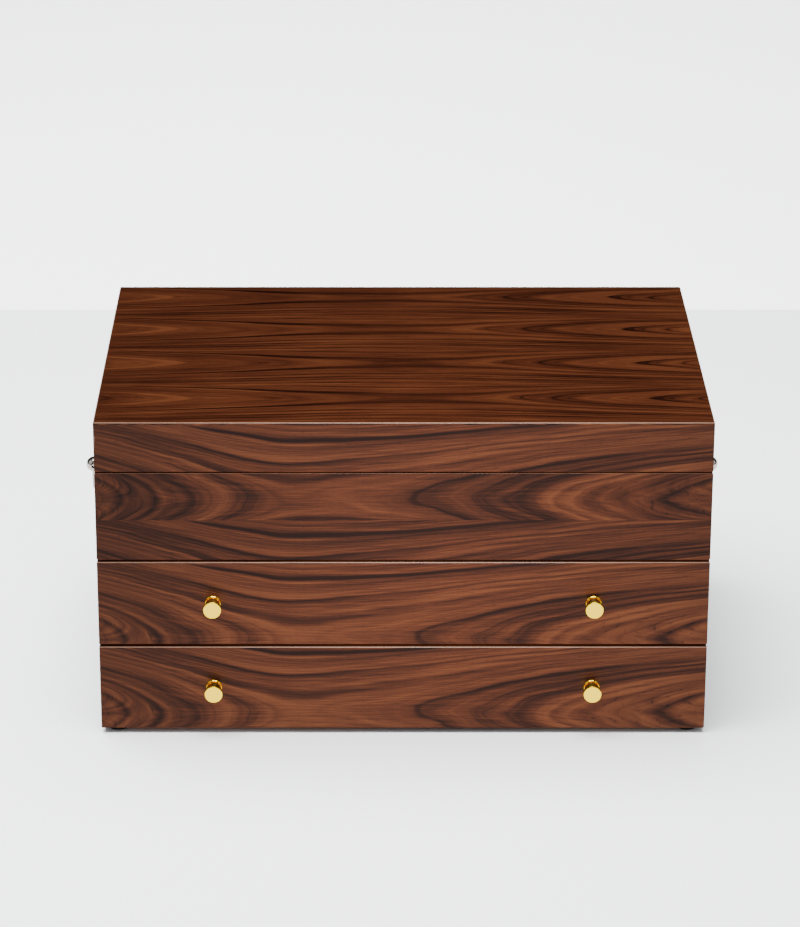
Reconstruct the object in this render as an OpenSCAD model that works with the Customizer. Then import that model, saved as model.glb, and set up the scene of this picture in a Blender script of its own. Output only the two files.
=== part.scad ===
// Jewellery chest with a hinged lid, a fitted well under it and two full-width drawers.
// Frame: +X right, +Y towards the back, +Z up. The origin is on the floor, under the middle
// of the overall box, which the knobs set in front and the hinge barrels behind.

/* [Case] */
// Width of the chest
case_w = 380; // [370:1:420]
// Depth of the chest from front face to back face
case_d = 262; // [256:1:290]
// Thickness of the outer walls
wall = 12; // [11:0.5:12]
// Height of the fixed section that holds the well
well_h = 58.6; // [57:0.2:70]
// Height of one drawer, seam to seam
drawer_h = 57.4; // [54:0.2:70]
// Thickness of the shelves and of the bottom
shelf_t = 6; // [5:0.5:7]

/* [Lid] */
// Height of the lid
lid_h = 33; // [33:0.5:40]
// Thickness of the lid's top board
lid_top_t = 9; // [6:0.5:9]
// Width of the mirror glass
mirror_w = 300; // [240:1:304]
// Depth of the mirror glass
mirror_d = 178; // [120:1:182]

/* [Seams] */
// Gap between the lid and the case
lid_gap = 0.6; // [0.4:0.1:0.8]
// Gap between the drawer fronts
seam_gap = 1.4; // [1:0.1:2]

/* [Knobs and feet] */
// Distance between the two knobs of a drawer
knob_spacing = 237; // [180:1:260]
// Diameter of a knob's face
knob_d = 11.2; // [10.6:0.1:14]
// Height of the feet
foot_h = 3; // [2:0.5:5]
// Diameter of the feet
foot_d = 13; // [10:1:14]

/* [Side handles] */
// Distance between the two posts of a handle
post_spacing = 60; // [56:1:90]
// Diameter of the bail's rod
bail_d = 3.4; // [3:0.1:4]
// Drop from the pivot to the middle of the bail's grip
bail_drop = 20; // [16:0.5:22]

/* [Lining] */
// Number of ring rolls
roll_count = 8; // [4:1:8]
// Thickness of the dividers
divider_t = 4; // [3:0.5:5]

/* [Hidden] */
$fn = 64;

// Colours
walnut = "#6b3f2e";
dark_walnut = "#4a2a1e";
brass = "#d9b65c";
nickel = "#cbc5be";
suede = "#cdbfa8";
felt = "#2c2522";
rubber = "#1d1b1a";
silvered = "#c8d2d6";

// Knob, measured along its own axis from the drawer front
knob_reach = 11;
knob_flange_t = 0.8;
knob_neck_r = 2.3;
knob_back_r = knob_d / 2 - 0.75;
knob_head_h = 7.7;

// Hinge barrel: its axis lies just behind the back face, at the height of the lid seam
barrel_r = 2.4;
barrel_stand_off = 2.6;
barrel_reach = barrel_stand_off + barrel_r;

// The case's places: half width, front face, back face, and the seams' heights
hw = case_w / 2;
front_y = -case_d / 2 + (knob_reach - barrel_reach) / 2;
back_y = front_y + case_d;
mid_y = (front_y + back_y) / 2;
z_bottom = foot_h;
z_shelf = z_bottom + drawer_h;
z_well = z_shelf + drawer_h;
z_seam = z_well + well_h;
z_top = z_seam + lid_h;
z_rim = z_seam - lid_gap / 2;
z_lid = z_seam + lid_gap / 2;
z_lid_top = z_top - lid_top_t;
in_x = hw - wall;
in_y0 = front_y + wall;
in_y1 = back_y - wall;

// Feet
foot_edge_r = 1;
foot_in = foot_d / 2 + 4;

// Well lining
board_gap = 0.1;
liner_t = 3;
pad_t = 2;
well_z0 = z_well + shelf_t / 2;
well_pad_z = well_z0 + pad_t;
well_liner_z = z_rim - 7;
well_divider_z = z_rim - 13;
well_x = in_x - liner_t;
well_y0 = in_y0 + liner_t;
well_y1 = in_y1 - liner_t;
well_cross_x = 60;
bed_h = 18;
roll_r = 6.2;
roll_gap = 1;
roll_flat = 3.5;

// Drawers
front_t = wall - 0.6;
box_side_clear = 1;
box_back_clear = 3;
box_top_clear = 3;
glide_t = 0.8;
glide_clear = 0.1;
glide_inset = 6;
bumper_r = 5;
bumper_inset = 30;
bumper_clear = 0.4;
lid_bumper_r = 3;
lid_bumper_clear = 0.1;
box_t = 8;
box_floor_t = 4;
drawer_liner_t = 2.5;
drawer_rim_drop = 3;
drawer_divider_drop = 8;
box_x = in_x - box_side_clear;
box_y0 = front_y + front_t;
box_y1 = in_y1 - box_back_clear;
cell_x = box_x - box_t - drawer_liner_t;
cell_y0 = box_y0 + drawer_liner_t;
cell_y1 = box_y1 - box_t - drawer_liner_t;
drawer_cross_x = 57;
knob_bore_r = 1.7;
knob_recess_r = 3.6;
knob_recess = 3;
screw_r = 1.5;
screw_clear = 0.05;

// Quadrant hinges: an L-shaped leaf in each rim, a barrel behind, and a curved arm that
// slides into both rims round the barrel's axis and stops the lid
hinge_y = back_y + barrel_stand_off;
leaf_t = 1.2;
leaf_w = 8;
leaf_x1 = hw - 2;
leaf_x0 = leaf_x1 - 38;
leaf_leg = 40;
leaf_depth = 10;
knuckles = 5;
knuckle_gap = 0.3;
pin_r = 1;
pin_clear = 0.05;
arm_x = leaf_x1 - leaf_w / 2;
arm_t = 1.6;
arm_r = 27;
arm_w = 3;
arm_half_angle = 54;
arm_clear = 0.4;
peg_angle = 52;
peg_r = 0.5;
peg_len = 5;
pocket_w = 6;
pocket_depth = 24.5;
pocket_clear = 1.5;
pocket_y0 = hinge_y - arm_r - arm_w / 2 - pocket_clear;
leaf_screw_r = 1;
leaf_screw_head_r = 2;
leaf_screw_len = 8;
leaf_screws = [
    [arm_x, back_y - 35],
    [leaf_x0 + 6, back_y - leaf_depth / 2],
    [leaf_x0 + 20, back_y - leaf_depth / 2]
];

// Side handles
pivot_z = z_well + 25.3;
pivot_out = 8.2;
ball_r = 4.8;
post_hole_r = 1.3;
bail_pin_r = 1.2;
stud_r = 1.5;
nut_t = 2.4;
nut_recess_r = 3.6;
nut_recess = 3;
bail_bend_r = 5;
bail_arm_y = post_spacing / 2 - ball_r - 0.5 - bail_d / 2;

// ---------------------------------------------------------------- helpers

// A box from its lowest corner to its highest corner
module slab(lo, hi) translate(lo) cube(hi - lo);

// A cylinder along Y that starts at [x, y, z] and goes towards +Y
module rod_y(at, r, h) translate(at) rotate([-90, 0, 0]) cylinder(r = r, h = h);

// A cylinder along X that starts at [x, y, z] and goes towards +X
module rod_x(at, r, h) translate(at) rotate([0, 90, 0]) cylinder(r = r, h = h);

// Points on an arc about c, from angle a0 to a1
function arc(c, r, a0, a1, n = 6) =
    [for (i = [0:n]) c + r * [cos(a0 + (a1 - a0) * i / n), sin(a0 + (a1 - a0) * i / n)]];

module both_sides() {
    children();
    mirror([1, 0, 0]) children();
}

// Four separate boards that line the inside of a rectangle, with butted corners
module liner_ring(x, y0, y1, z0, z1, t) {
    slab([-x, y0, z0], [x, y0 + t, z1]);
    slab([-x, y1 - t, z0], [x, y1, z1]);
    both_sides() slab([x - t, y0 + t + board_gap, z0], [x, y1 - t - board_gap, z1]);
}

// ---------------------------------------------------------------- case

module bottom_panel()
    color(dark_walnut)
    slab([-in_x, in_y0, z_bottom], [in_x, in_y1, z_bottom + shelf_t]);

// The right-hand side panel: pocket for the hinge arm, seat for the leaf, and post holes
module side_panel()
    color(walnut)
    difference() {
        slab([in_x, in_y0, z_bottom], [hw, in_y1, z_rim]);
        slab([arm_x - pocket_w / 2, pocket_y0, z_rim - pocket_depth],
             [arm_x + pocket_w / 2, in_y1 + 1, z_rim + 1]);
        slab([leaf_x1 - leaf_w, back_y - leaf_leg, z_rim - leaf_t], [leaf_x1, in_y1 + 1, z_rim + 1]);
        leaf_screw_holes(-1);
        for (s = [-1, 1]) {
            rod_x([in_x - 1, mid_y + s * post_spacing / 2, pivot_z], stud_r + 0.1, wall + 2);
            rod_x([in_x - 1, mid_y + s * post_spacing / 2, pivot_z], nut_recess_r, nut_recess + 1);
        }
    }

module right_side_panel() side_panel();
module left_side_panel() mirror([1, 0, 0]) side_panel();

module back_panel()
    color(walnut)
    difference() {
        slab([-hw, in_y1, z_bottom], [hw, back_y, z_rim]);
        both_sides() {
            leaf_seat_in_back(z_rim - leaf_t, z_rim + 1);
            leaf_screw_holes(-1);
        }
    }

module well_front_panel()
    color(walnut)
    slab([-hw, front_y, z_well + seam_gap / 2], [hw, in_y0, z_rim]);

module shelf(z)
    color(dark_walnut)
    slab([-in_x, in_y0, z - shelf_t / 2], [in_x, in_y1, z + shelf_t / 2]);

module well_floor_panel() shelf(z_well);
module drawer_shelf() shelf(z_shelf);

// Felt strips that the drawer sides run on
module drawer_glides()
    color(felt)
    for (z = [z_bottom + shelf_t, z_shelf + shelf_t / 2])
        both_sides()
            slab([box_x - box_t, in_y0 + glide_inset, z], [box_x, in_y1 - 4 * glide_inset, z + glide_t]);

// Felt dots on the rim that the lid closes on
module lid_bumpers()
    color(felt)
    both_sides()
        translate([hw - wall / 2, front_y + wall / 2, z_rim])
            cylinder(r = lid_bumper_r, h = lid_gap - lid_bumper_clear);

// Felt dots on the back panel that the drawers close against
module drawer_bumpers()
    color(felt)
    for (z = [(z_bottom + z_shelf) / 2, (z_shelf + z_well) / 2])
        both_sides()
            rod_y([in_x - bumper_inset, in_y1 - box_back_clear + bumper_clear, z],
                  bumper_r, box_back_clear - bumper_clear);

module foot()
    rotate_extrude()
        polygon(concat([[0, 0]],
                       arc([foot_d / 2 - foot_edge_r, foot_edge_r], foot_edge_r, -90, 0),
                       [[foot_d / 2, foot_h], [0, foot_h]]));

module feet()
    color(rubber)
    both_sides()
        for (y = [front_y + foot_in, back_y - foot_in])
            translate([hw - foot_in, y, 0]) foot();

// ---------------------------------------------------------------- well lining

module well_floor_pad()
    color(suede)
    slab([-well_x, well_y0, well_z0], [well_x, well_y1, well_pad_z]);

module well_wall_liners()
    color(suede)
    liner_ring(in_x, in_y0, in_y1, well_z0, well_liner_z, liner_t);

module well_cross_dividers()
    color(suede)
    both_sides()
        slab([well_cross_x - divider_t / 2, well_y0, well_pad_z],
             [well_cross_x + divider_t / 2, well_y1, well_divider_z]);

module well_long_dividers()
    color(suede) {
        both_sides()
            slab([well_cross_x + divider_t / 2, mid_y - divider_t / 2, well_pad_z],
                 [well_x, mid_y + divider_t / 2, well_divider_z]);
        slab([-well_cross_x + divider_t / 2, mid_y - divider_t / 2, well_pad_z],
             [well_cross_x - divider_t / 2, mid_y + divider_t / 2, well_divider_z]);
    }

bed_x = well_cross_x - divider_t / 2;
bed_y1 = mid_y - divider_t / 2;
bed_z = well_pad_z + bed_h;

module ring_bed()
    color(suede)
    slab([-bed_x, well_y0, well_pad_z], [bed_x, bed_y1, bed_z]);

// Padded rolls, flat underneath, that grip rings between them
module ring_rolls() {
    pitch = 2 * roll_r + roll_gap;
    y_first = (well_y0 + bed_y1) / 2 - pitch * (roll_count - 1) / 2;
    color(suede)
    for (i = [0:roll_count - 1])
        intersection() {
            rod_x([-bed_x + 1, y_first + i * pitch, bed_z + roll_flat], roll_r, 2 * bed_x - 2);
            slab([-bed_x, well_y0, bed_z], [bed_x, bed_y1, bed_z + 3 * roll_r]);
        }
}

// ---------------------------------------------------------------- quadrant hinges

// Seat of a leaf's back leg, from z0 to z1
module leaf_seat_in_back(z0, z1) {
    slab([leaf_x0, back_y - leaf_depth, z0], [leaf_x1, back_y + 1, z1]);
    slab([leaf_x1 - leaf_w, in_y1 - 1, z0], [leaf_x1, back_y - leaf_depth + 1, z1]);
}

// Holes for the leaf's screws: down into the case for side -1, up into the lid for side 1
module leaf_screw_holes(side)
    for (p = leaf_screws)
        translate([p.x, p.y, side < 0 ? z_rim - leaf_screw_len - 0.5 : z_lid - 1])
            cylinder(r = leaf_screw_r + screw_clear, h = leaf_screw_len + 1.5);

// One leaf lies between z0 and z1. side is -1 for the case's leaf and 1 for the lid's,
// and first is the index of its first knuckle.
module hinge_leaf(side, first) {
    z0 = side < 0 ? z_rim - leaf_t : z_lid;
    z1 = side < 0 ? z_rim : z_lid + leaf_t;
    pitch = (leaf_x1 - leaf_x0) / knuckles;
    color(brass)
    difference() {
        union() {
            difference() {
                union() {
                    slab([leaf_x0, back_y - leaf_depth, z0], [leaf_x1, hinge_y, z1]);
                    slab([leaf_x1 - leaf_w, back_y - leaf_leg, z0], [leaf_x1, back_y - leaf_depth, z1]);
                }
                // room for the other leaf's knuckles
                for (k = [1 - first:2:knuckles - 1])
                    slab([leaf_x0 + k * pitch - knuckle_gap / 2, back_y + 0.1, z0 - 1],
                         [leaf_x0 + (k + 1) * pitch + knuckle_gap / 2, hinge_y + 1, z1 + 1]);
            }
            for (k = [first:2:knuckles - 1])
                rod_x([leaf_x0 + k * pitch + knuckle_gap / 2, hinge_y, z_seam],
                      barrel_r, pitch - knuckle_gap);
        }
        rod_x([leaf_x0 - 1, hinge_y, z_seam], pin_r + pin_clear, leaf_x1 - leaf_x0 + 2);
        // slot that the arm slides through
        slab([arm_x - arm_t / 2 - 0.3, hinge_y - arm_r - arm_w / 2 - arm_clear, z0 - 1],
             [arm_x + arm_t / 2 + 0.3, hinge_y - arm_r + arm_w / 2 + arm_clear, z1 + 1]);
        for (p = leaf_screws)
            translate([p.x, p.y, 0]) {
                translate([0, 0, z0 - 1]) cylinder(r = leaf_screw_r + screw_clear, h = leaf_t + 2);
                translate([0, 0, side < 0 ? z1 : z0]) mirror([0, 0, side < 0 ? 1 : 0])
                    cylinder(r1 = leaf_screw_head_r + screw_clear, r2 = leaf_screw_r + screw_clear, h = 1);
            }
    }
}

module right_hinge_case_leaf() hinge_leaf(-1, 0);
module left_hinge_case_leaf() mirror([1, 0, 0]) hinge_leaf(-1, 0);
module right_hinge_lid_leaf() hinge_leaf(1, 1);
module left_hinge_lid_leaf() mirror([1, 0, 0]) hinge_leaf(1, 1);

module hinge_pins()
    color(brass)
    both_sides()
        rod_x([leaf_x0 + 0.2, hinge_y, z_seam], pin_r, leaf_x1 - leaf_x0 - 0.4);

// Countersunk screw with a slot, head up at the origin
module leaf_screw()
    difference() {
        union() {
            translate([0, 0, -1]) cylinder(r1 = leaf_screw_r, r2 = leaf_screw_head_r, h = 1);
            translate([0, 0, -leaf_screw_len]) cylinder(r = leaf_screw_r, h = leaf_screw_len - 0.5);
        }
        slab([-3, -0.25, -0.5], [3, 0.25, 1]);
    }

module hinge_case_screws()
    color(brass)
    both_sides()
        for (p = leaf_screws)
            translate([p.x, p.y, z_rim - 0.02]) leaf_screw();

module hinge_lid_screws()
    color(brass)
    both_sides()
        for (p = leaf_screws)
            translate([p.x, p.y, z_lid + 0.02]) rotate([180, 0, 0]) leaf_screw();

// The curved arm, concentric with the barrel, half in the case and half in the lid when shut
module hinge_arm()
    color(brass)
    translate([arm_x, hinge_y, z_seam]) {
        rotate([90, 0, 90])
            rotate([0, 0, 180 - arm_half_angle])
                translate([0, 0, -arm_t / 2])
                    rotate_extrude(angle = 2 * arm_half_angle)
                        translate([arm_r - arm_w / 2, 0]) square([arm_w, arm_t]);
        for (side = [-1, 1])
            rotate([side * peg_angle, 0, 0])
                rod_x([-peg_len / 2, -arm_r, 0], peg_r, peg_len);
    }

module right_hinge_arm() hinge_arm();
module left_hinge_arm() mirror([1, 0, 0]) hinge_arm();

// ---------------------------------------------------------------- side handles

// Round post with a ball end, a rosette on the wall and a stud through it
module handle_post()
    difference() {
        union() {
            rod_x([-wall + 0.4, 0, 0], stud_r, wall + 1);
            rotate([0, 90, 0])
                rotate_extrude()
                    polygon(concat([[0, 0], [6, 0], [6, 0.5]], arc([4.6, 0.5], 1.4, 0, 70),
                                   [[2.6, 2.2], [2.2, 3], [2.2, 4.6], [0, 4.6]]));
            translate([pivot_out, 0, 0]) sphere(r = ball_r);
        }
        rod_y([pivot_out, -ball_r - 1, 0], post_hole_r, 2 * ball_r + 2);
    }

module handle_posts()
    color(nickel)
    both_sides()
        for (s = [-1, 1])
            translate([hw, mid_y + s * post_spacing / 2, pivot_z]) handle_post();

module handle_nuts()
    color(nickel)
    both_sides()
        for (s = [-1, 1])
            translate([in_x + 0.3, mid_y + s * post_spacing / 2, pivot_z])
                difference() {
                    rotate([0, 90, 0]) cylinder(r = 3.2, h = nut_t, $fn = 6);
                    rod_x([-1, 0, 0], stud_r + screw_clear, nut_t + 2);
                }

// U-shaped bail that hangs from the two posts, its ends turned outwards into the balls
module handle_bail() {
    r = bail_d / 2;
    color(nickel)
    translate([hw + pivot_out, mid_y, pivot_z]) {
        for (s = [-1, 1]) {
            translate([0, s * bail_arm_y, 0]) {
                sphere(r = r);
                translate([0, 0, -bail_drop + bail_bend_r]) cylinder(r = r, h = bail_drop - bail_bend_r);
            }
            rod_y([0, s > 0 ? bail_arm_y : -bail_arm_y - ball_r - 5, 0], bail_pin_r, ball_r + 5);
        }
        rod_y([0, -bail_arm_y + bail_bend_r, -bail_drop], r, 2 * (bail_arm_y - bail_bend_r));
        for (s = [0, 1])
            mirror([0, s, 0])
                translate([0, bail_arm_y - bail_bend_r, -bail_drop + bail_bend_r])
                    rotate([0, 90, 0])
                        rotate_extrude(angle = 90) translate([bail_bend_r, 0]) circle(r = r);
    }
}

module right_handle_bail() handle_bail();
module left_handle_bail() mirror([1, 0, 0]) handle_bail();

// ---------------------------------------------------------------- lid

module lid_top_panel()
    color(walnut)
    slab([-hw, front_y, z_lid_top], [hw, back_y, z_top]);

module lid_front_rail()
    color(walnut)
    slab([-hw, front_y, z_lid], [hw, in_y0, z_lid_top]);

module lid_back_rail()
    color(walnut)
    difference() {
        slab([-hw, in_y1, z_lid], [hw, back_y, z_lid_top]);
        both_sides() {
            leaf_seat_in_back(z_lid - 1, z_lid + leaf_t);
            leaf_screw_holes(1);
        }
    }

module lid_side_rail()
    color(walnut)
    difference() {
        slab([in_x, in_y0, z_lid], [hw, in_y1, z_lid_top]);
        slab([arm_x - pocket_w / 2, pocket_y0, z_lid - 1],
             [arm_x + pocket_w / 2, in_y1 + 1, z_lid_top + 1]);
        slab([leaf_x1 - leaf_w, back_y - leaf_leg, z_lid - 1], [leaf_x1, in_y1 + 1, z_lid + leaf_t]);
        leaf_screw_holes(1);
    }

module lid_right_rail() lid_side_rail();
module lid_left_rail() mirror([1, 0, 0]) lid_side_rail();

lid_liner_t = 2;
lid_board_t = 3;
lid_board_z = z_lid_top - lid_board_t;
mirror_t = 3;
frame_w = 12;
frame_t = 4.4;
frame_lip = 2;

module lid_lining_board()
    color(suede)
    slab([-in_x, in_y0, lid_board_z], [in_x, in_y1, z_lid_top]);

module lid_wall_liners()
    color(suede)
    liner_ring(in_x, in_y0, in_y1, z_lid + 2, lid_board_z, lid_liner_t);

module mirror_glass()
    color(silvered)
    slab([-mirror_w / 2, mid_y - mirror_d / 2, lid_board_z - mirror_t],
         [mirror_w / 2, mid_y + mirror_d / 2, lid_board_z]);

// Outline of one mitred strip: half_len and inset are half the sides of the frame's opening
module mitred_strip(half_len, inset)
    polygon([[board_gap - half_len, inset], [half_len - board_gap, inset],
             [half_len + frame_w - board_gap, inset + frame_w],
             [board_gap - half_len - frame_w, inset + frame_w]]);

// Four separate mitred strips, rebated over the edge of the glass
module mirror_frame() {
    open_x = mirror_w / 2 - frame_lip;
    open_y = mirror_d / 2 - frame_lip;
    color(walnut)
    difference() {
        translate([0, mid_y, lid_board_z - frame_t])
            linear_extrude(frame_t) {
                for (turn = [0, 180])
                    rotate(turn) mitred_strip(open_x, open_y);
                for (turn = [90, 270])
                    rotate(turn) mitred_strip(open_y, open_x);
            }
        slab([-mirror_w / 2 - board_gap, mid_y - mirror_d / 2 - board_gap, lid_board_z - mirror_t - board_gap],
             [mirror_w / 2 + board_gap, mid_y + mirror_d / 2 + board_gap, lid_board_z + 1]);
    }
}

// ---------------------------------------------------------------- drawers

// Lowest and highest places of drawer i: 0 is the lower drawer, 1 is the upper one
function bay_floor(i) = i == 0 ? z_bottom + shelf_t : z_shelf + shelf_t / 2;
function bay_roof(i) = (i == 0 ? z_shelf : z_well) - shelf_t / 2;
function box_z0(i) = bay_floor(i) + glide_t + glide_clear;
function box_z1(i) = bay_roof(i) - box_top_clear;
function front_z0(i) = i == 0 ? z_bottom + 0.4 : z_shelf + seam_gap / 2;
function front_z1(i) = (i == 0 ? z_shelf : z_well) - seam_gap / 2;
function knob_z(i) = (i == 0 ? z_bottom + z_shelf : z_shelf + z_well) / 2;
function cell_z0(i) = box_z0(i) + box_floor_t + pad_t;

module drawer_front(i)
    color(walnut)
    difference() {
        slab([-hw, front_y, front_z0(i)], [hw, front_y + front_t, front_z1(i)]);
        both_sides() {
            rod_y([knob_spacing / 2, front_y - 1, knob_z(i)], knob_bore_r, front_t + 2);
            rod_y([knob_spacing / 2, front_y + front_t - knob_recess, knob_z(i)], knob_recess_r, knob_recess + 1);
        }
    }

module drawer_side(i)
    color(dark_walnut)
    slab([box_x - box_t, box_y0, box_z0(i)], [box_x, box_y1, box_z1(i)]);

module drawer_back(i)
    color(dark_walnut)
    slab([-box_x + box_t, box_y1 - box_t, box_z0(i)], [box_x - box_t, box_y1, box_z1(i)]);

module drawer_bottom(i)
    color(dark_walnut)
    slab([-box_x + box_t, box_y0, box_z0(i)], [box_x - box_t, box_y1 - box_t, box_z0(i) + box_floor_t]);

module drawer_floor_pad(i)
    color(suede)
    slab([-cell_x, cell_y0, box_z0(i) + box_floor_t], [cell_x, cell_y1, cell_z0(i)]);

module drawer_wall_liners(i)
    color(suede)
    liner_ring(box_x - box_t, box_y0, box_y1 - box_t, box_z0(i) + box_floor_t,
               box_z1(i) - drawer_rim_drop, drawer_liner_t);

// Two dividers from front to back, and in the upper drawer a row across the middle
module drawer_dividers(i) {
    z0 = cell_z0(i);
    z1 = box_z1(i) - drawer_divider_drop;
    y_mid = (cell_y0 + cell_y1) / 2;
    x_in = drawer_cross_x - divider_t / 2;
    x_out = drawer_cross_x + divider_t / 2;
    color(suede) {
        both_sides() slab([x_in, cell_y0, z0], [x_out, cell_y1, z1]);
        if (i == 1) {
            both_sides()
                slab([x_out + board_gap, y_mid - divider_t / 2, z0], [cell_x, y_mid + divider_t / 2, z1]);
            slab([board_gap - x_in, y_mid - divider_t / 2, z0], [x_in - board_gap, y_mid + divider_t / 2, z1]);
        }
    }
}

// Spool-shaped knob that stands on +Z: flange, neck, and a head that widens to a flat face
module knob() {
    r = knob_d / 2;
    neck_z = knob_reach - knob_head_h;
    difference() {
        rotate_extrude()
            polygon(concat(
                [[0, 0], [r - 0.5, 0], [r - 0.5, 0.4], [r - 0.8, knob_flange_t]],
                [for (p = arc([knob_neck_r + 1, knob_flange_t + 1], 1, 270, 180)) p],
                [[knob_neck_r, neck_z - 0.4], [knob_neck_r + 0.4, neck_z], [knob_back_r - 0.4, neck_z],
                 [knob_back_r, neck_z + 0.4]],
                arc([r - 0.5, knob_reach - 0.5], 0.5, 5, 90),
                [[0, knob_reach]]));
        translate([0, 0, -1]) cylinder(r = screw_r + screw_clear, h = 7.6);
    }
}

module drawer_knobs(i)
    color(brass)
    both_sides()
        translate([knob_spacing / 2, front_y, knob_z(i)]) rotate([90, 0, 0]) knob();

// Pan-head screws that hold the knobs from inside
module drawer_knob_screws(i)
    color(brass)
    both_sides()
        difference() {
            union() {
                rod_y([knob_spacing / 2, front_y - 6.2, knob_z(i)], screw_r, front_t - knob_recess + 6.4);
                rod_y([knob_spacing / 2, front_y + front_t - knob_recess, knob_z(i)], 3, 2.2);
            }
            slab([knob_spacing / 2 - 4, front_y + front_t - 1.6, knob_z(i) - 0.4],
                 [knob_spacing / 2 + 4, front_y + front_t, knob_z(i) + 0.4]);
        }

module upper_drawer_front() drawer_front(1);
module upper_drawer_right_side() drawer_side(1);
module upper_drawer_left_side() mirror([1, 0, 0]) drawer_side(1);
module upper_drawer_back() drawer_back(1);
module upper_drawer_bottom() drawer_bottom(1);
module upper_drawer_floor_pad() drawer_floor_pad(1);
module upper_drawer_wall_liners() drawer_wall_liners(1);
module upper_drawer_dividers() drawer_dividers(1);
module upper_drawer_knobs() drawer_knobs(1);
module upper_drawer_knob_screws() drawer_knob_screws(1);
module lower_drawer_front() drawer_front(0);
module lower_drawer_right_side() drawer_side(0);
module lower_drawer_left_side() mirror([1, 0, 0]) drawer_side(0);
module lower_drawer_back() drawer_back(0);
module lower_drawer_bottom() drawer_bottom(0);
module lower_drawer_floor_pad() drawer_floor_pad(0);
module lower_drawer_wall_liners() drawer_wall_liners(0);
module lower_drawer_dividers() drawer_dividers(0);
module lower_drawer_knobs() drawer_knobs(0);
module lower_drawer_knob_screws() drawer_knob_screws(0);

// ---------------------------------------------------------------- output

bottom_panel();
left_side_panel();
right_side_panel();
back_panel();
well_front_panel();
well_floor_panel();
drawer_shelf();
drawer_glides();
drawer_bumpers();
lid_bumpers();
feet();
well_floor_pad();
well_wall_liners();
well_cross_dividers();
well_long_dividers();
ring_bed();
ring_rolls();
left_hinge_case_leaf();
right_hinge_case_leaf();
hinge_pins();
hinge_case_screws();
handle_posts();
handle_nuts();
lid_top_panel();
lid_front_rail();
lid_back_rail();
lid_left_rail();
lid_right_rail();
lid_lining_board();
lid_wall_liners();
mirror_glass();
mirror_frame();
left_hinge_lid_leaf();
right_hinge_lid_leaf();
hinge_lid_screws();
left_hinge_arm();
right_hinge_arm();
left_handle_bail();
right_handle_bail();
upper_drawer_front();
upper_drawer_left_side();
upper_drawer_right_side();
upper_drawer_back();
upper_drawer_bottom();
upper_drawer_floor_pad();
upper_drawer_wall_liners();
upper_drawer_dividers();
upper_drawer_knobs();
upper_drawer_knob_screws();
lower_drawer_front();
lower_drawer_left_side();
lower_drawer_right_side();
lower_drawer_back();
lower_drawer_bottom();
lower_drawer_floor_pad();
lower_drawer_wall_liners();
lower_drawer_dividers();
lower_drawer_knobs();
lower_drawer_knob_screws();
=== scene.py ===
"""Looks of a walnut jewellery chest with a lift-up lid and two drawers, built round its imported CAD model.

Everything is in metres, in the CAD model's own frame: +X right, +Y back, +Z up, the floor at z = 0.
"""

import math

import bmesh
import bpy
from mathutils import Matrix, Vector
from mathutils.bvhtree import BVHTree


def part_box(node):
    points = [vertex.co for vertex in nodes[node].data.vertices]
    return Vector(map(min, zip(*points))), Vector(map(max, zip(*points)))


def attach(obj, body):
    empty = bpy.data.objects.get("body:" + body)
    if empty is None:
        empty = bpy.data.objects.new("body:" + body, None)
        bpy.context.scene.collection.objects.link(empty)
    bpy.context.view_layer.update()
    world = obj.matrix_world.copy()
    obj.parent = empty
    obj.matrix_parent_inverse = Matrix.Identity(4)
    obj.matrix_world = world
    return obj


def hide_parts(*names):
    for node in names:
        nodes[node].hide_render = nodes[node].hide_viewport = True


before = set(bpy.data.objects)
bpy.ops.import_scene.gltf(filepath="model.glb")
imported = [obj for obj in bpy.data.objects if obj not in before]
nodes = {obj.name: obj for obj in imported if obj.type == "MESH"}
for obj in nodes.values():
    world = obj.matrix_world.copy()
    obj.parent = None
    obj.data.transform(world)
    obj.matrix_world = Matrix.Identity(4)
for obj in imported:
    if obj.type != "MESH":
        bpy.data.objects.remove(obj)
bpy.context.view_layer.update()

MM = 0.001
IN_MM = 1 / MM

# Places worked out from the CAD model
lid_low, lid_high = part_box("lid_top_panel")
rail_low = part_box("lid_front_rail")[0]
well_low, well_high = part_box("well_front_panel")
upper_low, upper_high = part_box("upper_drawer_front")
lower_low, lower_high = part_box("lower_drawer_front")
side_low, side_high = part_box("right_side_panel")
back_low, back_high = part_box("back_panel")
glass_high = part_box("mirror_glass")[1]
half_width = lid_high.x
front_y = lid_low.y
back_y = lid_high.y
mid_y = (front_y + back_y) / 2
top_z = lid_high.z

# ---------------------------------------------------------------- shader nodes


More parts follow.
